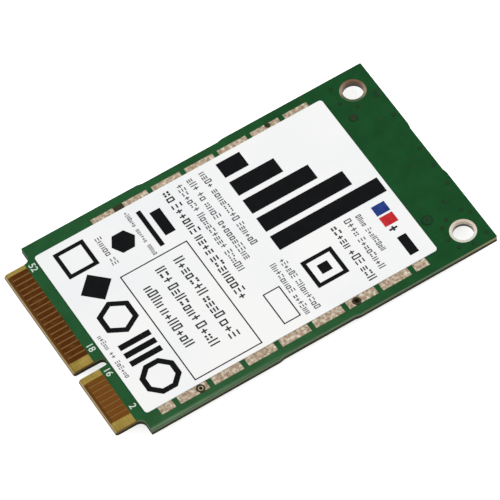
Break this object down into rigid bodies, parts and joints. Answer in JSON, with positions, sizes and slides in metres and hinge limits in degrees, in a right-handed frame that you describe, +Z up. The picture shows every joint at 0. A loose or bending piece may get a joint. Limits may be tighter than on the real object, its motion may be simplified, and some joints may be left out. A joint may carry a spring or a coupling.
{
  "type": "laptop wireless mini card",
  "caption": "Keyed mini card for a laptop's wireless slot: bevelled card edge, labelled face, mounting holes, and electronics with two coaxial antenna sockets beneath.",
  "frame": {"origin": "under the middle of the card, on the plane that its tallest parts rest on", "axes": "+X across the card with the key to its right, +Y along the card from the contact edge to the mounting holes, +Z up out of the labelled face"},
  "size_m": [0.03, 0.051, 0.0024],
  "materials": {
    "laminate": "woven glass laminate, satin",
    "solder_mask": "green lacquer, satin gloss",
    "contact_gold": "thin gold plating",
    "tinned_copper": "solder-coated copper",
    "label_paper": "coated white label",
    "ink_black": "printed ink",
    "ink_grey": "printed ink",
    "ink_blue": "printed ink",
    "ink_red": "printed ink",
    "mould_compound": "moulded black epoxy",
    "chip_substrate": "thin laminate",
    "lead_tin": "tin-plated leads",
    "ferrite": "unglazed ferrite",
    "copper_winding": "enamelled copper wire",
    "crystal_lid": "satin metal lid",
    "white_ceramic": "unglazed ceramic",
    "capacitor_ceramic": "tan ceramic",
    "resistor_black": "glazed black film",
    "tantalum_case": "moulded epoxy",
    "filter_ceramic": "fired ceramic",
    "socket_shell": "gold-plated brass",
    "socket_insulator": "moulded plastic"
  },
  "bodies": {
    "root": {"circuit_board": "laminate", "solder_mask_label_side": "solder_mask", "solder_mask_component_side": "solder_mask", "contacts_label_side": "contact_gold", "contacts_component_side": "contact_gold", "ground_strips_label_side": "tinned_copper", "hole_plating_left": "tinned_copper", "hole_plating_right": "tinned_copper", "label": "label_paper", "label_print_black": "ink_black", "label_print_grey": "ink_grey", "label_print_blue": "ink_blue", "label_print_red": "ink_red", "radio_chip_substrate": "chip_substrate", "radio_chip_body": "mould_compound", "radio_chip_solder_balls": "lead_tin", "power_amplifier_body": "mould_compound", "power_amplifier_pads": "lead_tin", "memory_chip_body": "mould_compound", "memory_chip_leads": "lead_tin", "voltage_regulator_body": "mould_compound", "voltage_regulator_leads": "lead_tin", "rf_switch_body": "mould_compound", "rf_switch_leads": "lead_tin", "power_inductor_core": "ferrite", "power_inductor_winding": "copper_winding", "power_inductor_terminals": "lead_tin", "crystal_can": "crystal_lid", "crystal_base": "white_ceramic", "bandpass_filter_body": "filter_ceramic", "bandpass_filter_terminals": "lead_tin", "balun_body": "filter_ceramic", "balun_terminals": "lead_tin", "tantalum_capacitor_body": "tantalum_case", "tantalum_capacitor_terminals": "lead_tin", "bulk_capacitor_bodies": "capacitor_ceramic", "bulk_capacitor_end_caps": "lead_tin", "capacitor_bodies": "capacitor_ceramic", "capacitor_end_caps": "lead_tin", "resistor_bodies": "resistor_black", "resistor_end_caps": "lead_tin", "antenna_socket_main_shell": "socket_shell", "antenna_socket_main_insulator": "socket_insulator", "antenna_socket_main_pin": "contact_gold", "antenna_socket_aux_shell": "socket_shell", "antenna_socket_aux_insulator": "socket_insulator", "antenna_socket_aux_pin": "contact_gold", "component_pads": "tinned_copper", "test_pads": "tinned_copper"}
  },
  "joints": []
}
